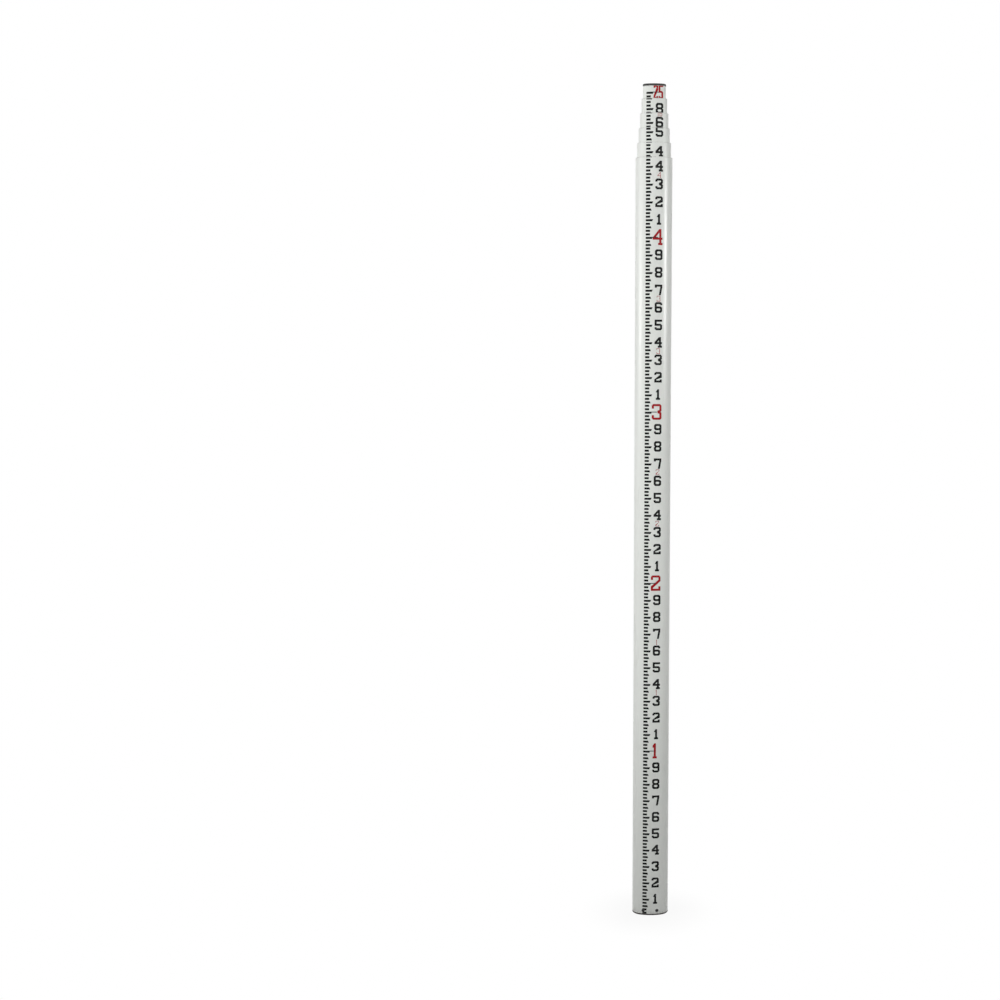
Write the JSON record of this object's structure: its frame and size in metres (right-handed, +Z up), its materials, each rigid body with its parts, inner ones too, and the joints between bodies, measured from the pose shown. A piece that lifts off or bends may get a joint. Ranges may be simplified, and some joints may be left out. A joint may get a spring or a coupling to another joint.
{
  "type": "leveling staff",
  "caption": "Collapsed telescoping leveling staff of nested white oval tubes with a printed foot scale, spring lock buttons on the back, a flat boot and a black cap.",
  "frame": {"origin": "centre of the foot's underside, the zero of the scale", "axes": "+Z up the staff, -Y out of the graduated face, +Y out of the back with the lock buttons"},
  "size_m": [0.0648, 0.0442, 1.4849],
  "materials": {
    "fibreglass": "white glass fibre, satin gelcoat, printed graduation on the front",
    "boot": "moulded, scuffed",
    "rivet": "blackened, semi-matt",
    "plug": "moulded",
    "button": "turned, bright",
    "spring": "rolled strip",
    "cap": "matt moulded"
  },
  "bodies": {
    "base": {"base_tube": "fibreglass", "base_boot": "boot", "boot_rivets": "rivet"},
    "section_2": {"section_2_tube": "fibreglass", "guide_plug_2": "plug", "lock_spring_2": "spring"},
    "button_2": {"lock_button_2": "button"},
    "section_3": {"section_3_tube": "fibreglass", "guide_plug_3": "plug", "lock_spring_3": "spring"},
    "button_3": {"lock_button_3": "button"},
    "section_4": {"section_4_tube": "fibreglass", "guide_plug_4": "plug", "lock_spring_4": "spring"},
    "button_4": {"lock_button_4": "button"},
    "section_5": {"section_5_tube": "fibreglass", "guide_plug_5": "plug", "lock_spring_5": "spring"},
    "button_5": {"lock_button_5": "button"},
    "section_6": {"section_6_tube": "fibreglass", "guide_plug_6": "plug", "lock_spring_6": "spring", "rain_cap": "cap"},
    "button_6": {"lock_button_6": "button"}
  },
  "joints": [
    {"name": "section_2_slide", "type": "slide", "parent": "base", "child": "section_2", "axis": [0, 0, 1], "range_m": [0, 1.19365]},
    {"name": "button_2_press", "type": "slide", "parent": "section_2", "child": "button_2", "axis": [0, 1, 0], "range_m": [-0.0015, 0], "stiffness_N_per_m": 800, "springref_m": 0.004, "deforming": ["lock_spring_2"]},
    {"name": "section_3_slide", "type": "slide", "parent": "section_2", "child": "section_3", "axis": [0, 0, 1], "range_m": [0, 1.21505]},
    {"name": "button_3_press", "type": "slide", "parent": "section_3", "child": "button_3", "axis": [0, 1, 0], "range_m": [-0.0015, 0], "stiffness_N_per_m": 800, "springref_m": 0.004, "deforming": ["lock_spring_3"]},
    {"name": "section_4_slide", "type": "slide", "parent": "section_3", "child": "section_4", "axis": [0, 0, 1], "range_m": [0, 1.23345]},
    {"name": "button_4_press", "type": "slide", "parent": "section_4", "child": "button_4", "axis": [0, 1, 0], "range_m": [-0.0015, 0], "stiffness_N_per_m": 800, "springref_m": 0.004, "deforming": ["lock_spring_4"]},
    {"name": "section_5_slide", "type": "slide", "parent": "section_4", "child": "section_5", "axis": [0, 0, 1], "range_m": [0, 1.25595]},
    {"name": "button_5_press", "type": "slide", "parent": "section_5", "child": "button_5", "axis": [0, 1, 0], "range_m": [-0.0015, 0], "stiffness_N_per_m": 800, "springref_m": 0.004, "deforming": ["lock_spring_5"]},
    {"name": "section_6_slide", "type": "slide", "parent": "section_5", "child": "section_6", "axis": [0, 0, 1], "range_m": [0, 1.25175]},
    {"name": "button_6_press", "type": "slide", "parent": "section_6", "child": "button_6", "axis": [0, 1, 0], "range_m": [-0.0015, 0], "stiffness_N_per_m": 800, "springref_m": 0.004, "deforming": ["lock_spring_6"]}
  ]
}
